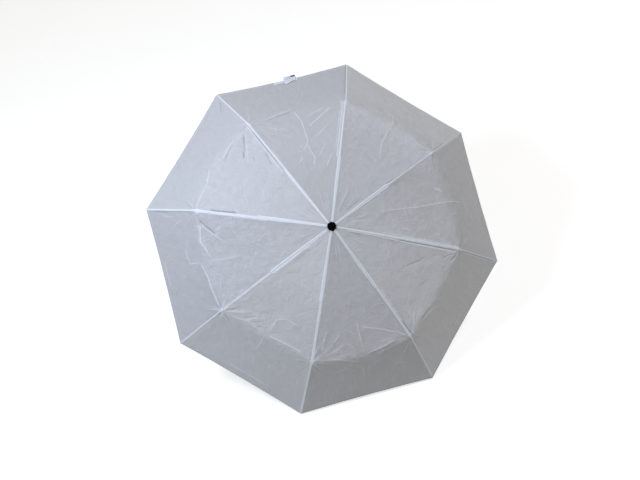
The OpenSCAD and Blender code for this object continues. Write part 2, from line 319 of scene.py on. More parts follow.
def tapeMaterial():
    material, tree, shader = newMaterial("hookTape")
    inputs = {"Vector": objectPlace(tree), "Scale": strapLook["hookScale"]}
    hooks = addNode(tree, "ShaderNodeTexVoronoi", inputs).outputs["Distance"]
    colour = mixColour(tree, hooks, strapLook["tape"], strapLook["tapeWorn"])
    feedAll(tree, shader, {"Base Color": colour, "Normal": bump(tree, hooks, 0.8, 0.0004), "Roughness": 0.9})
    return material


# finish: base colour, worn colour, metallic, roughness, grain scale, bump in metres
finishes = {
    "capPlastic": ((0.0012, 0.0012, 0.0013, 1), (0.0025, 0.0025, 0.0027, 1), 0.0, 0.8, 700.0, 0.00002),
    "crownPlastic": ((0.020, 0.020, 0.022, 1), (0.050, 0.050, 0.052, 1), 0.0, 0.45, 500.0, 0.00004),
    "gripPlastic": ((0.028, 0.028, 0.030, 1), (0.060, 0.060, 0.062, 1), 0.0, 0.62, 1400.0, 0.00008),
    "tubeSteel": ((0.66, 0.67, 0.69, 1), (0.42, 0.42, 0.43, 1), 1.0, 0.24, 160.0, 0.00002),
    "ribSteel": ((0.52, 0.53, 0.55, 1), (0.30, 0.28, 0.27, 1), 1.0, 0.42, 240.0, 0.00004),
    "wireSteel": ((0.60, 0.61, 0.63, 1), (0.34, 0.31, 0.29, 1), 1.0, 0.36, 300.0, 0.00003),
    "tipPlating": ((0.78, 0.79, 0.81, 1), (0.46, 0.46, 0.47, 1), 1.0, 0.2, 260.0, 0.00002),
    "rivetSteel": ((0.70, 0.70, 0.72, 1), (0.38, 0.36, 0.35, 1), 1.0, 0.3, 400.0, 0.00002),
    "threadWhite": ((0.72, 0.73, 0.76, 1), (0.55, 0.56, 0.60, 1), 0.0, 0.85, 2600.0, 0.00012),
}
capShine = 0.03             # the cap is dull, the other plastics shine as usual


def hardMaterial(name):
    base, worn, metallic, roughness, scale, depth = finishes[name]
    material, tree, shader = newMaterial(name)
    place = objectPlace(tree)
    wear = fade(tree, noise(tree, place, scale * 0.12, 6.0, 0.7), 0.48, 0.72)
    grain = noise(tree, place, scale, 3.0)
    grainy = mathNode(tree, "MULTIPLY_ADD", grain, 0.1, roughness - 0.05)
    dulled = mathNode(tree, "ADD", times(tree, wear, 0.18), grainy)
    feedAll(tree, shader, {"Base Color": mixColour(tree, wear, base, worn), "Roughness": dulled,
                           "Normal": bump(tree, grain, 0.5, depth), "Metallic": metallic})
    if name == "capPlastic":
        shader.inputs["Specular IOR Level"].default_value = capShine
    return material


hard = {name: hardMaterial(name) for name in finishes}
nodeFinish = {
    "crown_notch": "crownPlastic",
    "notch_wire": "wireSteel",
    "tube": "tubeSteel",
    "runner": "crownPlastic",
    "handle_end": "gripPlastic",
    "inner_rib": "ribSteel",
    "middle_rib": "ribSteel",
    "stretcher": "ribSteel",
    "outer_rib": "wireSteel",
    "rib_tip": "tipPlating",
}
for name, node in frame["nodes"].items():
    finish = next((finish for word, finish in nodeFinish.items() if word in name), None)
    if finish:
        node.data.materials.clear()
        node.data.materials.append(hard[finish])
print("materials ready")

canopy = {
    "startRadius": 0.0045,      # hole round the crown pin
    "crownRadius": 0.01565,     # the cloth lies level over the crown disc
    "crownHeight": 0.0038,
    "outerLength": 0.171,       # second knuckle to tip ball
    "tipRise": 0.0022,
    "tipBack": 0.0025,          # how far before the tip ball the cloth ends
    "clear": (0.0031, 0.0052, 0.0032),      # cloth above the two knuckles and the tip ball
    "sag": 3.0,                 # mm that a panel pulls in between two ribs
    "halfColumns": 84,
    "sectionRows": (84, 76, 74),
    "crownRows": 7,             # of the first section, over the crown disc
    "rowStep": 2.2,             # mm from row to row
    "fullCrest": 0.22,          # bend of the cloth at which a crest's painted highlight, and a hollow's painted shade, is full
    "tightBends": (0.002, 0.003),           # bend radius over the two knuckles
    "firstSoft": 0.012,         # bend radius between two first knuckles
    "waves": ((0.9, 46), (0.45, 24), (0.22, 9)),    # height and width in mm
    # the hem, turned under: mm outwards, below the cloth, and along it from the fold
    "hemRows": ((0.3, 0.2, 0.3), (-0.4, 0.5, 0.9), (-2.0, 0.5, 2.5), (-4.5, 0.5, 5.0), (-7.0, 0.5, 7.4)),
    "keepWidth": 0.08,          # share of a half panel's width that would be left when folded; nothing in this script folds the cloth
}

# What each panel shows: mm that its bend bows out and its hem draws in, the bend's radius in mm between the
# ribs, how strong the puckers at its two sides are, and its tone in its inner, middle and outer part: painted
# light that brightens or darkens the cloth where the light falls
panels = {
    5: {"bendOut": 1, "bendSoft": 18, "hemIn": 8, "left": 0.6, "right": 0.8, "tone": (0.95, 1.0, 0.95)},
    4: {"bendOut": 11, "bendSoft": 26, "hemIn": 4, "left": 0.6, "right": 0.6, "tone": (0.95, 0.95, 1.1)},
    3: {"bendOut": 16, "bendSoft": 26, "hemIn": 4, "left": 0.7, "right": 0.6, "tone": (1.0, 0.95, 1.0)},
    2: {"bendOut": 7, "bendSoft": 16, "hemIn": 3, "left": 0.8, "right": 1.1, "tone": (1.05, 1.05, 1.05)},
    1: {"bendOut": 18, "bendSoft": 8, "hemIn": 3, "left": 1.1, "right": 0.8, "tone": (0.95, 0.95, 0.95)},
    8: {"bendOut": 1, "bendSoft": 7, "hemIn": 3, "left": 1.0, "right": 0.6, "tone": (1.15, 1.05, 1.05)},
    7: {"bendOut": 14, "bendSoft": 12, "hemIn": 3, "left": 0.6, "right": 0.8, "tone": (1.0, 0.95, 0.95)},
    6: {"bendOut": 22, "bendSoft": 26, "hemIn": 4, "left": 0.5, "right": 0.6, "tone": (1.1, 1.1, 1.05)},
}

# Creases in each panel: tone (above 0 a pale line, partly worn whitening of the fold and partly painted
# highlight; below 0 painted shade), then its points in mm, across from the panel's middle line and down from
# the crown
creases = {
    5: (
        (0.5, 95, 330, 5, 350), (-0.5, 95, 325, 10, 340),       # the bend that runs in from the left knuckle
        (0.7, -95, 325, -15, 280), (0.45, -90, 335, -10, 305),      # two bright strokes off the other knuckle
        (0.7, 10, 340, -5, 300, -5, 240, 15, 215), (0.7, 0, 235, -10, 190, 0, 165), (0.5, 15, 205, 40, 180),
        (0.45, -85, 285, -10, 235), (0.45, -55, 230, -15, 185), (0.6, -60, 195, -30, 155),
    ),
    6: (
        (-1, -105, 340, -70, 310, -40, 290), (-0.6, -65, 345, -10, 330), (0.5, -85, 350, -15, 340),
        (0.9, -130, 355, -105, 290, -60, 170), (-0.7, -90, 260, -65, 215), (-0.5, -65, 280, -50, 260),
        (0.7, 15, 360, 55, 345, 130, 350), (-0.8, 120, 310, 85, 235), (0.4, -90, 320, -35, 270),
        (-0.5, -175, 470, -135, 440),
    ),
    7: (
        (0.9, 0, 355, 40, 345, 130, 345), (0.6, -50, 395, -5, 390, 0, 355), (0.4, 0, 350, 10, 270, 10, 235),
        (-1, -110, 340, -80, 315, -55, 295), (0.8, -95, 335, -50, 340, 0, 320), (0.5, -95, 335, -35, 280),
        (0.3, -75, 260, -20, 230), (0.35, -115, 430, -125, 380), (0.6, -40, 475, 40, 475),
        (0.4, -155, 450, -135, 405), (-0.5, -180, 485, -155, 420),
    ),
    8: (
        (0.4, -125, 335, -60, 320, 0, 325), (0.8, 0, 325, 70, 320, 105, 320),
        (0.6, 0, 325, 0, 280, 20, 265, 65, 265),                    # the loop in the middle
        (-0.6, -80, 320, -45, 295), (-0.5, -60, 320, -25, 300), (-0.5, -40, 325, -20, 310),
        (-0.5, -120, 325, -95, 290), (0.5, -70, 320, -35, 295), (0.5, -5, 330, -5, 390),
        (0.4, -45, 355, -5, 390),
        (0.35, -5, 395, 10, 440), (0.5, 50, 395, 45, 425), (0.7, -50, 465, 65, 465),
        (0.3, 120, 380, 150, 440),
    ),
    1: (
        (0.6, -125, 340, -60, 345, -5, 365), (0.8, 10, 345, 50, 340, 100, 335), (0.5, 30, 365, 65, 345),
        (0.6, 5, 250, 5, 330), (0.4, -5, 365, 0, 435), (0.7, -75, 260, -105, 325), (0.5, -40, 275, -100, 330),
        (0.5, -35, 305, -100, 335), (0.5, -50, 320, -80, 330), (0.6, 10, 270, 55, 290, 120, 330),
        (-0.5, 70, 290, 110, 325), (-0.6, 15, 350, 100, 340), (0.35, -90, 390, -30, 375),
        (0.4, 70, 425, 95, 405, 125, 425),
    ),
    2: (
        (0.9, 10, 30, 50, 135, 90, 245, 120, 325),                  # long fold beside the rib
        (-1, -110, 290, -130, 345), (0.7, -75, 290, -110, 325), (-0.6, -85, 295, -110, 330),
        (0.8, -70, 305, -110, 330), (0.6, 0, 340, -40, 335, -85, 330), (-0.6, -35, 340, -85, 335),
        (0.5, -10, 375, -40, 350, -80, 340), (-0.7, 15, 220, 50, 250, 70, 260), (-0.4, -15, 280, 30, 300),
        (0.4, 40, 465, -70, 460), (-0.9, 85, 300, 120, 330), (0.6, 90, 305, 120, 335),
        (-0.7, 90, 325, 120, 340),
    ),
    3: (
        (0.6, 10, 135, 0, 235, -5, 335, -10, 390), (0.8, 40, 305, 20, 335),
        (0.4, 20, 390, -10, 400, -50, 405),
        (0.4, 115, 365, 50, 365), (0.5, 85, 460, 20, 460), (0.3, -35, 305, -50, 280),
        (0.5, -45, 180, -60, 215),
        (0.4, 0, 25, -5, 105),
    ),
    4: (
        (0.5, -25, 225, -5, 275, -5, 355, 10, 390), (-0.4, 5, 275, 0, 315), (0.4, 75, 360, 20, 360),
        (-0.35, 100, 360, 75, 350), (-0.3, 0, 430, -55, 435), (0.4, -60, 390, -90, 375),
        (0.5, 5, 35, 10, 115),
        (-0.6, -10, 50, -30, 105),
    ),
}

# Pale band along each rib: half widths in mm on its two sides for the inner, middle and outer section,
# how pale it is, and how strong the painted highlight on its edges and the painted shade on its middle line
# are
seams = {
    5: {"right": (5, 10, 0.6), "left": (4, 1.7, 3.2), "tone": 0.75, "edge": 0.7, "groove": 0.2},
    4: {"right": (4.5, 1.2, 0.5), "left": (5, 2.2, 1.8), "tone": 0.7, "edge": 0.9, "groove": 0.8},
    3: {"right": (3.5, 5.5, 1.0), "left": (2, 3.2, 2.2), "tone": 0.9, "edge": 0.5, "groove": 0.1},
    2: {"right": (5.5, 5, 3.2), "left": (3.5, 1.8, 1.0), "tone": 0.7, "edge": 0.8, "groove": 0.5},
    1: {"right": (5, 5, 2.6), "left": (4.5, 2.6, 3.0), "tone": 1.0, "edge": 0.4, "groove": 0.1},
    8: {"right": (6, 3.4, 2.2), "left": (5, 2.0, 2.2), "tone": 0.75, "edge": 1.0, "groove": 0.6},
    7: {"right": (5, 5, 3.0), "left": (5.5, 2.6, 1.8), "tone": 1.0, "edge": 0.4, "groove": 0.0},
    6: {"right": (5.5, 2.4, 2.2), "left": (2.4, 2.2, 1.6), "tone": 0.9, "edge": 0.9, "groove": 0.1},
}

# Lines that run beside a rib where the cloth has slipped: side, tone (pale above 0, painted shade below 0, as
# for the creases), mm away from the rib, from and to in mm
besideRibs = {
    5: (("right", -1.0, 2.6, 352, 478), ("right", 0.5, 13.5, 200, 345)),
    4: (("right", -0.8, 2.8, 345, 410), ("right", -0.8, 4.6, 172, 212), ("left", 0.5, 4.5, 350, 480)),
    3: (("left", -1.0, 6.0, 165, 338), ("left", -0.8, 3.4, 348, 480), ("left", 0.6, 6.4, 352, 500),
        ("right", 0.7, 7.5, 120, 330)),
    2: (("right", -0.7, 6.4, 346, 372), ("left", 0.4, 4.4, 60, 160), ("right", 0.5, 8.5, 190, 300)),
    1: (("right", -0.4, 6.5, 230, 330), ("left", 0.4, 6.0, 350, 420)),
    8: (("right", -0.6, 4.4, 333, 356), ("left", -0.7, 3.8, 352, 402), ("right", 0.5, 8.0, 60, 178)),
    7: (("left", -0.9, 5.2, 232, 318), ("right", -0.5, 4.2, 352, 470), ("right", 0.5, 8.0, 150, 250)),
    6: (("right", -0.6, 5.0, 205, 330), ("left", 0.4, 4.5, 190, 260)),
}

hinge1, hinge2 = pivotAt("middle_rib_hinge_1"), pivotAt("outer_rib_hinge_1")
bendSlope = (ribSlopes["middle"] + ribSlopes["outer"]) / 2
tipBall = hinge2 + turned(canopy["outerLength"], canopy["tipRise"], -ribSlopes["outer"])
overFirst, overSecond, overTip = canopy["clear"]
seamLine = [
    np.array((canopy["startRadius"], canopy["crownHeight"])),
    np.array((canopy["crownRadius"], canopy["crownHeight"])),
    hinge1 + (0, overFirst),
    hinge2 + turned(0, overSecond, -bendSlope),
    tipBall + turned(-canopy["tipBack"], overTip, -ribSlopes["outer"]),
]


def softNoise(x, y, size, seed):
    # smooth random values from -1 to 1 on a lattice of that size
    cells = 64
    table = np.random.default_rng(seed).uniform(-1, 1, (cells, cells))
    gx, gy = x / size + 1000.5, y / size + 1000.5
    ix, iy = np.floor(gx).astype(int), np.floor(gy).astype(int)
    fx, fy = gx - ix, gy - iy
    fx, fy = fx * fx * (3 - 2 * fx), fy * fy * (3 - 2 * fy)

    def at(a, b):
        return table[a % cells, b % cells]

    return ((at(ix, iy) * (1 - fx) + at(ix + 1, iy) * fx) * (1 - fy)
            + (at(ix, iy + 1) * (1 - fx) + at(ix + 1, iy + 1) * fx) * fy)


def alongLine(u, v, points):
    # signed distance from a bent line, how far the nearest place on it lies from the line's nearer end,
    # and the line's length
    points = np.array(points, float).reshape(-1, 2)
    lengths = np.hypot(*np.diff(points, axis=0).T)
    best, away, run = np.full(u.shape, 1e9), np.zeros_like(u), np.zeros_like(u)
    done = 0.0
    for (ax, ay), (bx, by), length in zip(points[:-1], points[1:], lengths):
        wx, wy = (bx - ax) / length, (by - ay) / length
        t = np.clip((u - ax) * wx + (v - ay) * wy, 0, length)
        dx, dy = u - ax - wx * t, v - ay - wy * t
        straight = np.hypot(dx, dy)
        nearer = straight < best
        best = np.where(nearer, straight, best)
        away = np.where(nearer, np.copysign(straight, wx * dy - wy * dx), away)
        run = np.where(nearer, done + t, run)
        done += length
    return away, np.minimum(run, done - run), done


# Finer creases at seeded places: how many in a panel, their angles in degrees, starts and lengths in mm
smallOnes = {
    "knuckle": {"count": 7, "angle": (-66, 6), "start": (10, 60), "length": (35, 95),
                "tones": (-0.22, 0.18, 0.26, 0.34)},
    "across": {"count": 18, "beside": (-0.3, 0.3), "down": (0.45, 1.32), "length": (12, 34),
               "tones": (-0.2, 0.18, 0.26)},
    "crown": {"count": 9, "slant": (-0.3, 0.3), "start": (18, 60), "length": (20, 80), "tones": (-0.2, 0.24)},
}


def smallCreases(g, v2, width2):
    random = np.random.default_rng(g * 100 + 3)
    extra = []
    kind = smallOnes["knuckle"]
    for side in (-1, 1):
        strong = panels[g]["left" if side < 0 else "right"]
        for _ in range(kind["count"]):
            angle, start, length = (random.uniform(*kind[word]) for word in ("angle", "start", "length"))
            points, at = [], np.array((side * width2 / 2, v2))
            for reach in (start, start + length * 0.5, start + length):
                turn = math.radians(angle + random.uniform(-3, 3))
                points += list(at + reach * np.array((-side * math.cos(turn), math.sin(turn))))
            extra.append((random.choice(kind["tones"]) * strong, *points))
    kind = smallOnes["across"]
    for _ in range(kind["count"]):
        middle = np.array((random.uniform(*kind["beside"]) * width2, random.uniform(*kind["down"]) * v2))
        middle[0] *= min(1.0, middle[1] / v2)
        turn, length = random.uniform(0, math.pi), random.uniform(*kind["length"])
        way = np.array((math.cos(turn), math.sin(turn))) * length
        bow = np.array((-way[1], way[0])) * random.uniform(-0.2, 0.2)
        extra.append((random.choice(kind["tones"]), *(middle - way), *(middle + bow), *(middle + way)))
    kind = smallOnes["crown"]
    for _ in range(kind["count"]):
        slant, start, length = (random.uniform(*kind[word]) for word in ("slant", "start", "length"))
        end = start + length
        extra.append((random.choice(kind["tones"]), slant * start, start, slant * end, end))
    return extra


farAway = 50.0              # mm, farther than any crease shows
creaseShape = {
    "clearTone": 0.45,          # a crease above this tone keeps its strength nearly to its ends
    "endLength": 14.0,
    "fade": (3.0, 5.5),         # mm beside a crease over which its tone ends
    "sharp": (0.8, 3.0),        # height and width in mm of the crease itself
    "soft": (0.7, 9),           # and of the swelling under it
}


def drawnCreases(g, u, v, edge, v2, width2):
    # the creases' height in mm, and the distance and strength of the nearest light and dark one
    shape = creaseShape
    lines = []
    for tone, *points in (*creases[g], *smallCreases(g, v2, width2)):
        lines.append((*alongLine(u, v, points), tone))
    for rib, word, half in ((g, "right", u < 0), (g % ribCount + 1, "left", u >= 0)):
        for name, tone, gap, start, end in besideRibs[rib]:
            if name == word:
                away = np.where(half, edge - gap, farAway)
                lines.append((away, np.minimum(v - start, end - v), end - start, tone))
    height = np.zeros_like(u)
    marks = {}
    for word, sign in (("light", 1), ("dark", -1)):
        near, strength = np.full(u.shape, farAway), np.zeros_like(u)
        for away, inward, length, tone in lines:
            if tone * sign < 0:
                continue
            ending = min(shape["endLength"], length / 2.2) if abs(tone) > shape["clearTone"] else length / 2.1
            share = abs(tone) * smoothStep(0, ending, inward)
            beside = np.abs(away)
            closer = beside < np.abs(near)
            near = np.where(closer, away, near)
            strength = np.where(closer, share * (1 - smoothStep(*shape["fade"], beside)), strength)
            (sharp, narrow), (soft, broad) = shape["sharp"], shape["soft"]
            height += sign * share * (sharp * np.exp(-beside / narrow) + soft * np.exp(-(away / broad) ** 2))
        marks[word] = (near, strength)
    return height, marks


# Puckers that fan out of a second knuckle: two fans of angles in degrees with their number, the rest in mm
puckerShape = {
    "fans": ((-58, 5, 8), (5, 75, 5)),
    "length": (28, 80),
    "width": (1.8, 4.0),
    "bend": (-0.002, 0.002),
    "height": (0.8, 1.9),
    "root": 4.0,
    "raised": 0.6,              # share of them that stand up
}


def puckers(u, v, side, width2, v2, strength, seed):
    shape = puckerShape
    random = np.random.default_rng(seed)
    into, out = (u - side * width2 / 2) * -side, v - v2
    rho, phi = np.hypot(into, out), np.degrees(np.arctan2(out, into))
    height = np.zeros_like(u)
    for angle in np.concatenate([random.uniform(*fan) for fan in shape["fans"]]):
        length, width, bend = (random.uniform(*shape[word]) for word in ("length", "width", "bend"))
        turn = np.radians(phi - angle)
        along, beside = rho * np.cos(turn), rho * np.sin(turn)
        beside = beside + bend * along ** 2
        sign = 1 if random.random() < shape["raised"] else -1
        # each rises at its root, runs out over its length and widens on the way
        rise = smoothStep(0, shape["root"], along) * (1 - smoothStep(0.25, 1.0, along / length))
        spread = width * (0.55 + 0.75 * np.clip(along / length, 0, 1))
        fold = rise * np.exp(-np.sqrt(beside ** 2 + 0.5) / spread)
        height += sign * random.uniform(*shape["height"]) * fold
    return height * strength


def panelGrid(g):
    # rows of points from the crown to the hem, columns from one rib to the next
    facts, sectionRows = panels[g], canopy["sectionRows"]
    columns = 2 * canopy["halfColumns"] + 1
    s = np.linspace(0, 1, columns)
    a, b = ribAngle(g), ribAngle(g + 1)
    bulge = 4 * s * (1 - s)
    x, y = ((1 - s) * way(a) + s * way(b) for way in (math.cos, math.sin))
    corners = [np.stack((r * x, r * y, np.full(columns, z)), axis=1) for r, z in seamLine]
    corners[3] = corners[3] + unit(corners[3] - corners[2]) * (facts["bendOut"] * mm * bulge)[:, None]
    corners[4] = corners[4] - unit(corners[4] - corners[3]) * (facts["hemIn"] * mm * bulge)[:, None]
    counts = (canopy["crownRows"], sectionRows[0] - canopy["crownRows"], *sectionRows[1:])
    rows = []
    for start, end, count in zip(corners, corners[1:], counts):
        rows += [start + (end - start) * (i / count) for i in range(count)]
    grid = np.array(rows + [corners[4]])
    # round the bends over the knuckles: tight at the ribs, wide between them
    softBends = (canopy["firstSoft"], facts["bendSoft"] * mm)
    for knuckle, tight, wide in zip((1, 2), canopy["tightBends"], softBends):
        before, corner, after = corners[knuckle:knuckle + 3]
        into, out = unit(corner - before), unit(after - corner)
        reach = (tight + (wide - tight) * bulge ** 0.8)[None, :, None]
        away = np.linalg.norm(grid - corner, axis=2)
        above = np.arange(len(grid))[:, None] < sum(sectionRows[:knuckle])
        signed = np.where(above, -away, away)[:, :, None]
        t = np.clip((signed + reach) / (2 * reach), 0, 1)
        curved = corner - into * reach * (1 - t) ** 2 + out * reach * t ** 2
        grid = np.where(np.abs(signed) < reach, curved, grid)
    # sag between the ribs
    run = np.linspace(0, 1, len(grid))
    grid[:, :, 2] -= canopy["sag"] * mm * np.sin(np.pi * run)[:, None] * bulge[None, :]
    return s, grid


def gridNormals(grid):
    normals = np.cross(np.gradient(grid, axis=0), np.gradient(grid, axis=1))
    return normals / np.maximum(np.linalg.norm(normals, axis=2, keepdims=True), 1e-12)


def runAlong(line):
    # distance in mm along a row of points
    return np.concatenate(((0,), np.cumsum(np.linalg.norm(np.diff(line, axis=0), axis=1)))) / mm


def finishPanel(g):
    facts, hemRows = panels[g], canopy["hemRows"]
    s, grid = panelGrid(g)
    columns = grid.shape[1]
    width = np.linalg.norm(grid[:, -1] - grid[:, 0], axis=1) / mm
    v = runAlong(grid[:, canopy["halfColumns"]])[:, None] + np.zeros((1, columns))
    u = (s[None, :] - 0.5) * width[:, None]
    knuckleRow = sum(canopy["sectionRows"][:2])
    v2, width2, hemV = v[knuckleRow, 0], width[knuckleRow], v[-1, 0]
    edge = np.minimum(s, 1 - s)[None, :] * width[:, None]      # mm to the nearer rib line
    height = puckers(u, v, -1, width2, v2, facts["left"], g * 10 + 1)
    height += puckers(u, v, 1, width2, v2, facts["right"], g * 10 + 2)
    places = ((u, v), (u + v, v - u), (u, v * 0.6))
    for i, ((rise, size), (x, y)) in enumerate(zip(canopy["waves"], places)):
        height += rise * softNoise(x, y, size, g * 7 + i)
    height *= smoothStep(1.5, 14, edge)                        # calm along the ribs
    drawn, marks = drawnCreases(g, u, v, edge, v2, width2)
    height += drawn * smoothStep(1.0, 6.0, edge)
    height *= smoothStep(0, 60, v) * (0.35 + 0.65 * smoothStep(0, 18, hemV - v))
    across = np.maximum(width[:, None] / (columns - 1), 0.6)
    # the bend of the height field, which drives a painted highlight on crests and painted shade in hollows
    bend = np.gradient(np.gradient(height, axis=1), axis=1) / across ** 2
    bend += np.gradient(np.gradient(height, axis=0), axis=0) / canopy["rowStep"] ** 2
    crest = np.clip(-bend / canopy["fullCrest"], -1, 1)
    normals = gridNormals(grid)
    grid = grid + normals * (height * mm)[:, :, None]
    # the hem: turned under and stitched
    outward = unit(grid[-1] - grid[-2])
    under = [grid[-1] + (outward * out - normals[-1] * down) * mm for out, down, _ in hemRows]
    grid = np.concatenate((grid, np.array(under)))

    def longer(values):
        return np.concatenate((values, np.repeat(values[-1:], len(hemRows), axis=0)))

    v = np.concatenate((v, hemV + np.array([run for _, _, run in hemRows])[:, None] + np.zeros((1, columns))))
    # painted light: each panel's tone in its inner, middle and outer part, brighter or darker with the light
    # on it
    tone = np.interp(v, (v2 * 0.3, v2 * 0.76, (v2 + hemV) / 2), facts["tone"])
    attributes = {"crest": longer(crest), "clothTone": tone, "hemNear": hemV - v}
    for word, (near, strength) in marks.items():
        attributes[f"{word}Near"], attributes[f"{word}Strength"] = longer(near), longer(strength)
    return {"attributes": attributes, "s": s, "grid": grid, "normals": gridNormals(grid),
            "u": longer(u), "v": v, "width": longer(width)}


def makeGridPiece(name, points, normals, material):
    rows, columns = points.shape[:2]
    index = np.arange(rows * columns).reshape(rows, columns)
    faces = np.stack((index[:-1, :-1], index[1:, :-1], index[1:, 1:], index[:-1, 1:]), axis=2).reshape(-1, 4)
    mesh = bpy.data.meshes.new(name)
    mesh.from_pydata(points.reshape(-1, 3).tolist(), [], faces.tolist())
    mesh.polygons.foreach_set("use_smooth", [True] * len(mesh.polygons))
    mesh.normals_split_custom_set_from_vertices(normals.reshape(-1, 3).tolist())
    mesh.update()
    mesh.materials.append(material)
    piece = bpy.data.objects.new(name, mesh)
    scene.collection.objects.link(piece)
    return piece


def setAttributes(mesh, attributes, u, v):
    for name, values in attributes.items():
        data = mesh.attributes.new(name, "FLOAT", "POINT").data
        data.foreach_set("value", np.ascontiguousarray(values, np.float32).ravel())
    layer = mesh.uv_layers.new(name="cloth")
    corners = np.zeros(len(mesh.loops), int)
    mesh.loops.foreach_get("vertex_index", corners)
    pairs = np.stack((u.ravel()[corners], v.ravel()[corners]), axis=1) * mm
    layer.data.foreach_set("uv", pairs.astype(np.float32).ravel())


def seamHalfWidth(run, first, second, widths):
    # half width in mm of the pale band where the rib shows through the cloth, with a step at each knuckle
    half = widths[0] * (0.62 + 0.38 * smoothStep(10, 150, run))
    half = half + (widths[1] - half) * smoothStep(first - 3, first + 5, run)
    half = half + (widths[2] - half) * smoothStep(second - 4, second + 4, run)
    return half + 1.3 * np.exp(-((run - second) / 9) ** 2)


def seamMarks(rib, side, across, run, first, second):
    band = seams[rib]
    half = seamHalfWidth(run, first, second, band[side])
    wide = smoothStep(4.5, 8.5, half)           # a wide band is paler, with a bright core at the rib
    inward = 1 - 0.8 * smoothStep(first - 4, first + 10, run)
    return {
        "seamAcross": across,
        "seamHalf": half,
        "seamCore": wide,
        "seamTone": band["tone"] * (1 - 0.55 * wide),
        # painted highlight on the seam's raised edge and painted shade in its groove, both fading past the
        # first knuckle
        "seamEdgeHighlight": band["edge"] * (0.35 + 0.65 * inward),
        "seamGrooveShade": band["groove"] * inward,
    }


clothMat = clothMaterial()
print("modelling the canopy")
built = {g: finishPanel(g) for g in panels}
for g in panels:                                # neighbours meet, and share their normals, along a rib
    here, there = built[g], built[g % ribCount + 1]
    shared = unit(here["normals"][:, -1] + there["normals"][:, 0])
    here["normals"][:, -1] = there["normals"][:, 0] = shared
    edgeMean = (here["grid"][:, -1] + there["grid"][:, 0]) / 2
    here["grid"][:, -1] = there["grid"][:, 0] = edgeMean

halfColumns = canopy["halfColumns"]
row1, row2 = canopy["sectionRows"][0], sum(canopy["sectionRows"][:2])
sections = {"inner": slice(0, row1 + 1), "middle": slice(row1, row2 + 1), "outer": slice(row2, None)}
hemLine = -1 - len(canopy["hemRows"])           # the row where the hem turns under


def sewPiece(g, side, section):
    panel, rows = built[g], sections[section]
    if side == "right":
        rib, columns, share = g, slice(0, halfColumns + 1), panel["s"]
        atRib, atMiddle = 0, -1
    else:
        rib, columns, share = g % ribCount + 1, slice(halfColumns, None), 1 - panel["s"]
        atRib, atMiddle = -1, 0
    points = laid(panel["grid"][rows, columns])
    name = f"canopy_{section}_{rib}_{side}"
    piece = makeGridPiece(name, points, leaned(panel["normals"][rows, columns]), clothMat)
    across = (share[None, :] * panel["width"][:, None])[rows, columns]
    ribRun = runAlong(panel["grid"][:, 0])
    run = ribRun[rows][:, None] + np.zeros_like(across)
    attributes = {word: values[rows, columns] for word, values in panel["attributes"].items()}
    attributes.update(seamMarks(rib, side, across, run, ribRun[row1], ribRun[row2]))
    setAttributes(piece.data, attributes, panel["u"][rows, columns], panel["v"][rows, columns])
    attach(piece, f"{section}_rib_{rib}")
    last = hemLine if section == "outer" else -1
    start, end = points[0, atRib], points[last, atRib]
    ribWay = unit(end - start)
    away = points[last, atMiddle] - end
    away -= (away @ ribWay) * ribWay
    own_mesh(piece)
    return piece


sheets = [sewPiece(g, side, section) for g in built for side in ("right", "left") for section in sections]
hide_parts("canopy")
print("canopy pieces:", len(sheets), "triangles:", sum(len(o.data.polygons) for o in sheets) * 2)

strap = {
    "panel": 5,
    "base": (-27, 39),          # along the hem, towards rib 5, in mm
    "baseWidth": 10.8,
    "rise": 0.9,                # above the cloth
    "slots": ((12, 17, 20, 18.5), (16, 24, 25, 25.5)),      # dark lines on the folded end, in mm
    "foldRows": 66,
    "topRows": 6.5,             # lines of strapFold that lie on the top side
    "bulge": 0.5,
}
# The folded end as a run of lines from its inner end over the fold to the hem: left and right point,
# each along the hem, outwards and above the cloth, in mm
strapFold = (
    ((3, -21, 1.6), (33, -11, 1.7)),
    ((3, -20.2, 2.4), (33.4, -10, 2.6)),
    ((1.5, -14, 2.6), (34.5, -6, 2.9)),
    ((1.0, -6, 2.2), (35.5, -1, 2.7)),
    ((1.5, 1, 2.3), (36.2, 3, 2.8)),
    ((2.4, 7, 2.6), (37, 7.5, 3.2)),
    ((3.0, 10.4, 2.3), (37.5, 10.6, 2.7)),
    ((3.4, 11.6, 1.5), (37.8, 11.8, 1.6)),
    ((3.8, 11.4, 0.6), (38, 11.5, 0.5)),
    ((4.2, 9, 0.0), (38, 9, 0.0)),
    ((4.6, 3, -0.2), (38, 3, -0.2)),
    ((5, -1, 1.2), (38, -1, 1.2)),
    ((5, -7, 1.3), (38, -7, 1.3)),
)


def strapFrame():
    # the middle of the strap's panel at the hem: along the hem, outwards and up from the cloth
    grid = built[strap["panel"]]["grid"][:hemLine + 1]
    middle, beside, inside = halfColumns, 12, 6
    along = unit(grid[-1, middle - beside] - grid[-1, middle + beside])
    outwards = grid[-1, middle] - grid[-1 - inside, middle]
    outwards -= (outwards @ along) * along
    outwards = unit(outwards)
    up = np.cross(along, outwards)
    if up[2] < 0:
        up = -up
    return grid[-1, middle], along, outwards, up


def clothHeight(x, y):
    # how far the cloth lies above the strap frame's plane
    origin, along, outwards, up = strapFrame()
    grid = built[strap["panel"]]["grid"][:hemLine + 1]
    rows, columns = 21, 34
    near = grid[-rows:, halfColumns - columns:halfColumns + columns + 1].reshape(-1, 3) - origin
    flat = np.stack((near @ along, near @ outwards), axis=1) / mm
    away = np.hypot(flat[:, :1] - x.ravel()[None, :], flat[:, 1:] - np.minimum(y, 0).ravel()[None, :])
    weight = np.exp(-(away / 3.0) ** 2) + 1e-9 / (1 + away)
    return ((weight * (near @ up / mm)[:, None]).sum(0) / weight.sum(0)).reshape(x.shape)


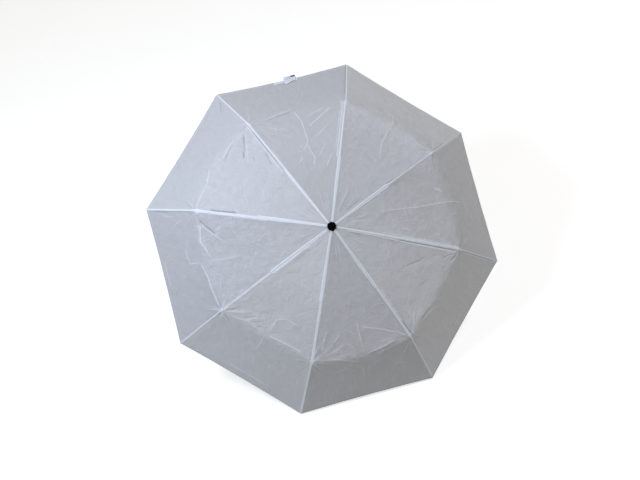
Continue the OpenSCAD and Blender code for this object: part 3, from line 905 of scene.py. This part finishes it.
def strapSheet(name, x, y, z, dark):
    origin, along, outwards, up = strapFrame()
    z = z + clothHeight(x, y)
    points = laid(origin + mm * (x[..., None] * along + y[..., None] * outwards + z[..., None] * up))
    normals = gridNormals(points)
    if normals[4, 12] @ leaned(up) < 0:         # a place on the top side
        points = points[:, ::-1]
        normals = gridNormals(points)
    piece = makeGridPiece(name, points, normals, strapMat)
    down = runAlong(points[:, points.shape[1] // 2])
    width = np.linalg.norm(points[:, -1] - points[:, 0], axis=1) / mm
    u = np.linspace(0, 1, points.shape[1])[None, :] * width[:, None]
    v = down[:, None] + np.zeros_like(u)
    edge = np.minimum(np.minimum(u, width[:, None] - u), np.minimum(v, down[-1] - v))
    near, strength = np.full(u.shape, farAway), np.zeros_like(u)
    for line in dark:
        away, inward, _ = alongLine(u, v, line)
        closer = np.abs(away) < np.abs(near)
        near = np.where(closer, away, near)
        strength = np.where(closer, smoothStep(0, 1.5, inward), strength)
    setAttributes(piece.data, {"edgeNear": edge, "darkNear": near, "darkStrength": strength}, u, v)
    flat = (round(float(width.max()) * mm, 4), round(float(down[-1]) * mm, 4))
    area = float(((width[1:] + width[:-1]) / 2 * np.diff(down)).sum()) * mm ** 2
    return piece, flat, min(area, flat[0] * flat[1])


def rideOuter(piece):
    # goes with the outer rib beside it
    rib = strap["panel"]
    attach(piece, f"outer_rib_{rib}")
    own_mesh(piece)


def makeStrap():
    x, y = np.meshgrid(np.linspace(*strap["base"], 45), np.linspace(-strap["baseWidth"], -0.3, 9))
    z = strap["rise"] + 0.15 * softNoise(x, y, 9, 31)
    base, flat, area = strapSheet("strapBase", x, y, z, ())
    rows = np.array(strapFold, float)
    t = np.linspace(0, len(rows) - 1, strap["foldRows"])
    lower = np.minimum(t.astype(int), len(rows) - 2)
    share = (t - lower)[:, None, None]
    share = share * share * (3 - 2 * share) * 0.35 + share * 0.65
    lines = rows[lower] * (1 - share) + rows[lower + 1] * share
    s = np.linspace(0, 1, 33)[None, :, None]
    x, y, z = np.moveaxis(lines[:, :1] * (1 - s) + lines[:, 1:] * s, 2, 0)
    swell = strap["bulge"] * np.sin(np.pi * s[..., 0]) + 0.25 * softNoise(x, y, 8, 32)
    z = z + np.where((t < strap["topRows"])[:, None], swell, 0.0)
    fold, foldFlat, foldArea = strapSheet("strapFold", x, y, z, strap["slots"])
    for piece, cut, part, held in ((base, flat, area, "laid"), (fold, foldFlat, foldArea, "folded")):
        rideOuter(piece)
    return base


def startPiece(name):
    piece = bpy.context.object
    piece.name = piece.data.name = name
    return piece


def choose(piece):
    bpy.ops.object.select_all(action="DESELECT")
    piece.select_set(True)
    bpy.context.view_layer.objects.active = piece


def addCylinder(name, sides, radius, depth, middle, ends="NGON"):
    bpy.ops.object.select_all(action="DESELECT")
    bpy.ops.mesh.primitive_cylinder_add(vertices=sides, radius=radius, depth=depth, location=(0, 0, middle),
                                        end_fill_type=ends)
    piece = startPiece(name)
    bpy.ops.object.mode_set(mode="EDIT")
    return piece


def pickFaces(piece, test):
    bpy.ops.mesh.select_mode(type="FACE")
    bpy.ops.mesh.select_all(action="DESELECT")
    shape = bmesh.from_edit_mesh(piece.data)
    for face in shape.faces:
        face.select_set(test(face.calc_center_median(), face.normal))
    bmesh.update_edit_mesh(piece.data)


def pickTop(piece):
    pickFaces(piece, lambda centre, normal: normal.z > 0.9)


def pickUnderside(piece):
    pickFaces(piece, lambda centre, normal: normal.z < -0.9)


def pushOut(z):
    bpy.ops.mesh.extrude_region_move(TRANSFORM_OT_translate={"value": (0, 0, z)})


def narrow(share):
    bpy.ops.transform.resize(value=(share, share, 1))


def rounded(piece, width):
    bevel = piece.modifiers.new("edge", "BEVEL")
    bevel.width, bevel.segments = width, 2
    bevel.limit_method, bevel.angle_limit = "ANGLE", math.radians(35)
    bpy.context.view_layer.objects.active = piece
    bpy.ops.object.modifier_apply(modifier="edge")


def smoothed(piece, finish, degrees=40):
    choose(piece)
    bpy.ops.object.shade_smooth_by_angle(angle=math.radians(degrees))
    piece.data.materials.append(finish)


def layDown(piece, matrix):
    choose(piece)
    piece.matrix_world = matrix @ piece.matrix_world
    bpy.ops.object.transform_apply(location=True, rotation=True, scale=True)


capShape = {
    "radius": 0.0118,
    "base": 0.0046,             # above the crown point
    "rim": 0.0012,
    "rise": 0.0052,
    "rings": 9,
    "topRadius": 0.12,          # share of the radius that stays flat
    "dimple": 0.0003,
    "pinRadius": 0.003,
    "pinEnd": -0.001,
}


def makeCap():
    facts = capShape
    cap = addCylinder("capDome", 72, facts["radius"], facts["rim"], facts["base"] + facts["rim"] / 2)
    pickTop(cap)
    for ring in range(facts["rings"]):
        here, there = (math.pi / 2 * j / facts["rings"] for j in (ring, ring + 1))
        pushOut(facts["rise"] * (math.sin(there) - math.sin(here)))
        narrow(max(math.cos(there), facts["topRadius"]) / math.cos(here))
    bpy.ops.mesh.inset(thickness=0.0004)
    pushOut(-facts["dimple"])
    pickUnderside(cap)
    bpy.ops.mesh.inset(thickness=facts["radius"] - facts["pinRadius"])
    pushOut(facts["pinEnd"] - facts["base"])
    bpy.ops.object.mode_set(mode="OBJECT")
    rounded(cap, 0.0003)
    smoothed(cap, hard["capPlastic"])
    layDown(cap, laidMatrix)
    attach(cap, "frame")
    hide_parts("cap")


gripShape = {
    "top": -0.48806,            # along the shaft from the crown
    "sides": 48,
    "neck": 0.010,
    "collar": 0.0015,           # height of the sloped collar round the tube
    "neckEnd": 0.006,
    "mouth": (0.0034, 0.004),   # how wide its ring is and how deep the tube sits in it
    # radius and depth below the top, down to the handle end
    "profile": ((0.0118, 0.009), (0.0136, 0.0112), (0.0148, 0.0134), (0.0148, 0.018), (0.0148, 0.046),
                (0.0148, 0.0528), (0.0140, 0.054)),
    "fluteEnds": (0.018, 0.046),
    "flutes": 12,
    "fluteDepth": 0.0009,
}


def makeGrip():
    facts = gripShape
    top, collar = facts["top"], facts["collar"]
    depth = facts["neckEnd"] - collar
    grip = addCylinder("gripSleeve", facts["sides"], facts["neck"], depth, top - collar - depth / 2)
    pickTop(grip)
    pushOut(collar)
    narrow(0.85)
    ring, sunk = facts["mouth"]
    bpy.ops.mesh.inset(thickness=ring)
    pushOut(-sunk)
    pickUnderside(grip)
    radius, below = facts["neck"], facts["neckEnd"]
    for wider, lower in facts["profile"]:
        pushOut(below - lower)
        narrow(wider / radius)
        radius, below = wider, lower
    step = math.tau / facts["sides"]
    upper, lower = facts["fluteEnds"]

    def fluteFace(centre, normal):
        turn = round((math.atan2(centre.y, centre.x) / step) - 0.5) % (facts["sides"] // facts["flutes"])
        return turn == 0 and abs(normal.z) < 0.1 and top - lower < centre.z < top - upper

    pickFaces(grip, fluteFace)
    bpy.ops.mesh.inset(thickness=0.0004, use_individual=True)
    bpy.ops.transform.shrink_fatten(value=-facts["fluteDepth"])
    bpy.ops.object.mode_set(mode="OBJECT")
    rounded(grip, 0.0004)
    smoothed(grip, hard["gripPlastic"])
    layDown(grip, laidMatrix)
    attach(grip, "lower_tube")
    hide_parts("handle")


bandShape = {
    "middle": -0.09328,         # along the shaft from the crown
    "radius": 0.0093,
    "width": 0.0034,
    "knurl": 0.0003,
    "wall": 0.0008,
}


def makeRunnerBand():
    # a knurled band round the runner's skirt, where the thumb pushes
    facts = bandShape
    band = addCylinder("runnerBand", 64, facts["radius"], facts["width"], facts["middle"], ends="NOTHING")
    bpy.ops.mesh.select_all(action="SELECT")
    bpy.ops.mesh.inset(thickness=0.0001, use_individual=True)
    bpy.ops.transform.shrink_fatten(value=facts["knurl"])
    bpy.ops.object.mode_set(mode="OBJECT")
    wall = band.modifiers.new("wall", "SOLIDIFY")
    wall.thickness, wall.offset = facts["wall"], -1
    bpy.context.view_layer.objects.active = band
    bpy.ops.object.modifier_apply(modifier="wall")
    smoothed(band, hard["gripPlastic"], 30)
    layDown(band, laidMatrix)
    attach(band, "runner")


ribStarts = {"inner": "inner_rib_hinge", "middle": "middle_rib_hinge"}
rivetShape = {"radius": 0.00125, "height": 0.00045, "flat": 0.0002}
rivetPlaces = {                     # along the rib, beside it and above its pivot, in mm
    "inner": ((95.0, 2.5, -3.4), (185.0, 2.5, 2.6)),
    "middle": ((161.0, 2.0, -4.8),),
}
tieShape = {"radius": 0.0031, "thread": 0.00028, "pitch": 0.0006, "flat": 0.82}
tiePlaces = {"inner": (48.0, 140.0), "middle": (70.0,)}
tieDrop = {"inner": 0.0, "middle": -2.6}


def ribMatrix(k, section):
    radius, height = pivotAt(f"{ribStarts[section]}_{k}")
    return (laidMatrix @ Matrix.Rotation(ribAngle(k), 4, "Z") @ Matrix.Translation((radius, 0, height))
            @ Matrix.Rotation(math.radians(ribSlopes[section]), 4, "Y"))


def makeRivet():
    facts = rivetShape
    rivet = addCylinder("rivetHead", 16, facts["radius"], facts["flat"], facts["flat"] / 2)
    pickTop(rivet)
    for rise, share in ((0.5, 0.8), (0.3, 0.7), (0.2, 0.5)):
        pushOut(facts["height"] * rise)
        narrow(share)
    bpy.ops.object.mode_set(mode="OBJECT")
    smoothed(rivet, hard["rivetSteel"], 50)
    return rivet


def makeTie():
    # three turns of sewing thread that hold the cloth to a rib
    facts = tieShape
    bpy.ops.object.select_all(action="DESELECT")
    bpy.ops.mesh.primitive_torus_add(major_segments=20, minor_segments=6, major_radius=facts["radius"],
                                     minor_radius=facts["thread"], rotation=(0, math.pi / 2, 0),
                                     location=(-facts["pitch"], 0, 0))
    tie = startPiece("threadTie")
    bpy.ops.object.transform_apply(location=True, rotation=True, scale=True)
    bpy.ops.object.mode_set(mode="EDIT")
    bpy.ops.mesh.select_all(action="SELECT")
    bpy.ops.transform.resize(value=(1, 1, facts["flat"]))
    for _ in range(2):
        bpy.ops.mesh.duplicate_move(TRANSFORM_OT_translate={"value": (facts["pitch"], 0, 0)})
    bpy.ops.object.mode_set(mode="OBJECT")
    smoothed(tie, hard["threadWhite"], 80)
    return tie


def copyTo(pattern, matrix):
    copy = pattern.copy()
    copy.data = pattern.data.copy()
    scene.collection.objects.link(copy)
    copy.data.transform(matrix)
    return copy


def joined(copies, name, body):
    bpy.ops.object.select_all(action="DESELECT")
    for copy in copies:
        copy.select_set(True)
    bpy.context.view_layer.objects.active = copies[0]
    if len(copies) > 1:
        bpy.ops.object.join()
    piece = startPiece(name)
    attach(piece, body)


def makeRibDetails():
    rivet, tie = makeRivet(), makeTie()
    for k in range(1, ribCount + 1):
        for section, places in rivetPlaces.items():
            heads = []
            for along, beside, above in places:
                for side in (1, -1):
                    turn = Matrix.Rotation(-side * math.pi / 2, 4, "X")
                    place = Matrix.Translation((along * mm, side * beside * mm, above * mm))
                    heads.append(copyTo(rivet, ribMatrix(k, section) @ place @ turn))
            joined(heads, f"rivets_{section}_{k}", f"{section}_rib_{k}")
        for section, places in tiePlaces.items():
            steps = [Matrix.Translation((along * mm, 0, tieDrop[section] * mm)) for along in places]
            ties = [copyTo(tie, ribMatrix(k, section) @ step) for step in steps]
            joined(ties, f"ties_{section}_{k}", f"{section}_rib_{k}")
    for pattern in (rivet, tie):
        bpy.data.objects.remove(pattern, do_unlink=True)


patchShape = {
    "size": (0.0125, 0.0062, 0.0007),
    "place": (30.5, 7.0),       # mm along the hem and outwards
    "lift": 3.75,
    "tilt": 0.03,
    "rim": 0.0008,
    "pile": 0.0003,
}


def makeHookPatch():
    # soft square of hook tape on the strap's folded end
    facts = patchShape
    bpy.ops.object.select_all(action="DESELECT")
    bpy.ops.mesh.primitive_cube_add(size=1, location=(0, 0, 0))
    patch = startPiece("hookPatch")
    patch.scale = facts["size"]
    bpy.ops.object.transform_apply(location=True, rotation=True, scale=True)
    bpy.ops.object.mode_set(mode="EDIT")
    pickTop(patch)
    bpy.ops.mesh.inset(thickness=facts["rim"])
    pushOut(facts["pile"])
    bpy.ops.mesh.select_all(action="SELECT")
    bpy.ops.mesh.subdivide(number_cuts=2)
    bpy.ops.object.mode_set(mode="OBJECT")
    rounded(patch, 0.0003)
    smoothed(patch, tapeMat, 50)
    origin, along, outwards, up = strapFrame()
    x, y = facts["place"]
    lift = float(clothHeight(np.array([[x]]), np.array([[y]]))[0, 0]) + facts["lift"]
    place = axesMatrix(along, outwards, unit(up + facts["tilt"] * along),
                       origin + mm * (x * along + y * outwards + lift * up))
    layDown(patch, laidMatrix @ place)
    if np.linalg.det(np.array(place)[:3, :3]) < 0:
        patch.data.flip_normals()
    return patch


strapMat, tapeMat = strapMaterial(), tapeMaterial()
strapBase = makeStrap()
patch = makeHookPatch()
rideOuter(patch)
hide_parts("closure_strap")
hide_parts("strap_patch")
print("strap sewn on")
makeCap()
makeGrip()
makeRunnerBand()
makeRibDetails()
print("cap, grip, runner band, rivets and ties in place")

cameraPlace = {
    "eye": (-0.531, -2.575, 2.664),
    "heading": 11.39,
    "pitch": -42.14,
    "roll": -6.47,
    "lens": 72.73,
}


def makeCamera():
    facts = cameraPlace
    heading, pitch, roll = (math.radians(facts[n]) for n in ("heading", "pitch", "roll"))
    level = Vector((math.sin(heading), math.cos(heading), 0))
    ahead = level * math.cos(pitch) + Vector((0, 0, math.sin(pitch)))
    right = Vector((math.cos(heading), -math.sin(heading), 0))
    up = right.cross(ahead)
    x = right * math.cos(roll) + up * math.sin(roll)
    y = up * math.cos(roll) - right * math.sin(roll)
    data = bpy.data.cameras.new("viewCamera")
    data.sensor_width, data.lens = 36, facts["lens"]
    camera = bpy.data.objects.new("viewCamera", data)
    camera.matrix_world = Matrix((x, y, -ahead)).transposed().to_4x4()
    camera.location = facts["eye"]
    scene.collection.objects.link(camera)
    scene.camera = camera


studio = {
    "keyLight": {"place": (-1.17, -0.31, 1.74), "size": 0.5, "power": 27, "colour": (0.7, 0.8, 1.0)},
    "fillLight": {"place": (2.25, -0.04, 3.5), "size": 1.0, "power": 55, "colour": (0.86, 0.88, 1.0)},
    "aim": (0, -0.1, 0.3),
    "sky": 0.25,
    "skyColour": (1.0, 0.93, 0.7, 1),
    "floor": (0.60, 0.60, 0.60, 1),
    "floorPale": (0.63, 0.63, 0.63, 1),
    "floorGlow": 0.64,
}
white = (1, 1, 1, 1)


def addLamp(name):
    facts = studio[name]
    data = bpy.data.lights.new(name, "AREA")
    data.shape, data.size, data.energy, data.color = "DISK", facts["size"], facts["power"], facts["colour"]
    lamp = bpy.data.objects.new(name, data)
    lamp.location = facts["place"]
    lamp.rotation_euler = (Vector(studio["aim"]) - lamp.location).to_track_quat("-Z", "Y").to_euler()
    scene.collection.objects.link(lamp)


def seenDirectly(tree):
    path = addNode(tree, "ShaderNodeLightPath")
    seen = mathNode(tree, "MAXIMUM", path.outputs["Is Camera Ray"], path.outputs["Is Glossy Ray"])
    return mathNode(tree, "MAXIMUM", seen, path.outputs["Is Transmission Ray"])


def makeStudio():
    makeCamera()
    addLamp("keyLight")
    addLamp("fillLight")
    world = bpy.data.worlds.new("studioWorld")
    world.use_nodes = True
    scene.world = world
    tree = world.node_tree
    direct = seenDirectly(tree)
    feedAll(tree, tree.nodes["Background"], {"Color": mixColour(tree, direct, studio["skyColour"], white),
                                             "Strength": mathNode(tree, "MAXIMUM", direct, studio["sky"])})
    bpy.ops.mesh.primitive_plane_add(size=14, location=(0, 0, 0))
    floor = bpy.context.object
    floor.name = "floor"
    material, tree, shader = newMaterial("floorPaper")
    grain = addNode(tree, "ShaderNodeTexNoise", {"Scale": 120.0, "Detail": 3.0}).outputs["Fac"]
    feedAll(tree, shader, {"Base Color": mixColour(tree, grain, studio["floor"], studio["floorPale"]),
                           "Roughness": 0.9, "Specular IOR Level": 0.1})
    shine = times(tree, seenDirectly(tree), studio["floorGlow"])
    glow = addNode(tree, "ShaderNodeEmission", {"Color": white, "Strength": shine})
    both = addNode(tree, "ShaderNodeAddShader", {0: shader.outputs[0], 1: glow.outputs[0]})
    tree.links.new(both.outputs[0], tree.nodes["Material Output"].inputs["Surface"])
    floor.data.materials.append(material)


makeStudio()
scene.view_settings.view_transform = "Standard"
print("studio ready")
